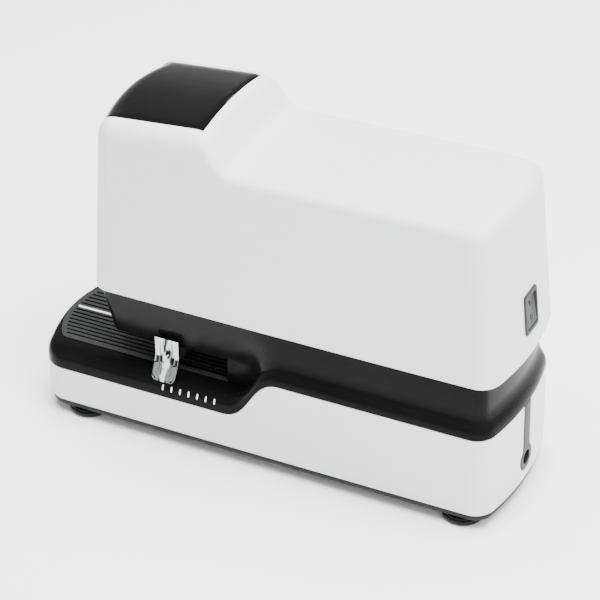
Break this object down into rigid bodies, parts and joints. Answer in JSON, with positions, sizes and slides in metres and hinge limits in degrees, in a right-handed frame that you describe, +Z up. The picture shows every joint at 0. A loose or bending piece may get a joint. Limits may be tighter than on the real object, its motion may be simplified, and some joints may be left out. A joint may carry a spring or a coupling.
{
  "type": "electric stapler",
  "caption": "Compact electric desktop stapler with a grooved paper table, sliding depth stop, hinged cassette lid and geared cam drive.",
  "frame": {"origin": "on the table under the centre of the bounding box", "axes": "+Z up, -Y the side the paper goes in, +Y the rear, +X the side with the depth knob"},
  "size_m": [0.0832, 0.2653, 0.192],
  "materials": {
    "white_shell": "satin off-white moulded plastic",
    "gloss_black": "polished black moulded plastic",
    "dark_trim": "satin dark grey plastic",
    "grey_plastic": "satin mid grey plastic",
    "white_ink": "white printed ink",
    "rubber_foot": "smooth black rubber",
    "chrome_trim": "bright chrome plate",
    "zinc_steel": "zinc plated steel",
    "frame_steel": "rolled steel sheet",
    "nylon_gear": "natural nylon",
    "brass_part": "turned brass",
    "board_green": "green circuit board",
    "copper_wire": null
  },
  "bodies": {
    "body": {"anvil_block": "frame_steel", "anvil_plate": "zinc_steel", "base_plate": "dark_trim", "base_shell": "white_shell", "cable_outlet": "grey_plastic", "centre_line": "white_ink", "circuit_board": "board_green", "foot_front_left": "rubber_foot", "foot_front_right": "rubber_foot", "foot_rear_left": "rubber_foot", "foot_rear_right": "rubber_foot", "frame_foot_front": "frame_steel", "frame_foot_rear": "frame_steel", "frame_plate_left": "frame_steel", "frame_plate_right": "frame_steel", "frame_screw_1": "zinc_steel", "frame_screw_2": "zinc_steel", "frame_screw_3": "zinc_steel", "frame_screw_4": "zinc_steel", "frame_spacer_front": "zinc_steel", "frame_spacer_rear": "zinc_steel", "frame_spacer_top": "zinc_steel", "guide_bracket": "frame_steel", "guide_rod_left": "chrome_trim", "guide_rod_right": "chrome_trim", "idler_axle": "zinc_steel", "lever_shaft": "zinc_steel", "lid_hinge_bracket": "frame_steel", "lid_hinge_pin": "zinc_steel", "motor_body": "zinc_steel", "staple_nose": "zinc_steel", "switch_bezel": "dark_trim", "table_cover": "gloss_black", "transformer_coil": "copper_wire", "transformer_core": "frame_steel", "upper_housing": "white_shell", "waist_cover": "gloss_black"},
    "lid": {"cassette_lid": "gloss_black"},
    "rocker": {"rocker_switch": "grey_plastic"},
    "slider": {"depth_knob": "chrome_trim", "depth_stop": "frame_steel", "trigger_pin": "zinc_steel"},
    "trigger": {"trigger_lever": "brass_part"},
    "cam": {"cam_shaft": "frame_steel", "drive_gear": "nylon_gear"},
    "idler": {"idler_gear": "nylon_gear"},
    "pinion": {"motor_pinion": "brass_part"},
    "lever": {"drive_lever": "frame_steel"},
    "head": {"head_carriage": "frame_steel", "driver_blade": "zinc_steel"},
    "cassette": {"staple_cassette": "dark_trim", "staple_roll": "zinc_steel"}
  },
  "joints": [
    {"name": "lid_open", "type": "hinge", "parent": "body", "child": "lid", "pos_m": [0, -0.0317, 0.18978], "axis": [-1, 0, 0], "range_deg": [0, 75]},
    {"name": "rocker_press", "type": "hinge", "parent": "body", "child": "rocker", "pos_m": [0, 0.13057, 0.111], "axis": [-1, 0, 0], "range_deg": [0, 16]},
    {"name": "depth_slide", "type": "slide", "parent": "body", "child": "slider", "axis": [0, 1, 0], "range_m": [0, 0.03]},
    {"name": "trigger_swing", "type": "hinge", "parent": "slider", "child": "trigger", "pos_m": [-0.014, -0.055, 0.0482], "axis": [1, 0, 0], "range_deg": [0, 25], "stiffness_Nm_per_rad": 0.002, "springref_deg": -11.46},
    {"name": "cam_turn", "type": "hinge", "parent": "body", "child": "cam", "pos_m": [0, 0.003, 0.127], "axis": [1, 0, 0], "range_deg": [0, 180]},
    {"name": "lever_swing", "type": "hinge", "parent": "body", "child": "lever", "pos_m": [0, 0.046, 0.1], "axis": [1, 0, 0], "range_deg": [0, 9.4]},
    {"name": "head_slide", "type": "slide", "parent": "body", "child": "head", "axis": [0, 0, -1], "range_m": [0, 0.0181]},
    {"name": "idler_turn", "type": "hinge", "parent": "body", "child": "idler", "pos_m": [0, 0.042, 0.127], "axis": [1, 0, 0], "range_deg": [-600, 0]},
    {"name": "motor_turn", "type": "hinge", "parent": "body", "child": "pinion", "pos_m": [0, 0.0714, 0.12104], "axis": [1, 0, 0], "range_deg": [0, 1800]},
    {"name": "cassette_lift", "type": "slide", "parent": "body", "child": "cassette", "axis": [0, 0, 1], "range_m": [0, 0.05]}
  ],
  "couplings": [
    {"joint": "lever_swing", "follows": "cam_turn", "ratio": 0.05182},
    {"joint": "head_slide", "follows": "cam_turn", "m_per_rad": 0.005717},
    {"joint": "idler_turn", "follows": "cam_turn", "ratio": -3.3333},
    {"joint": "motor_turn", "follows": "cam_turn", "ratio": 10}
  ]
}
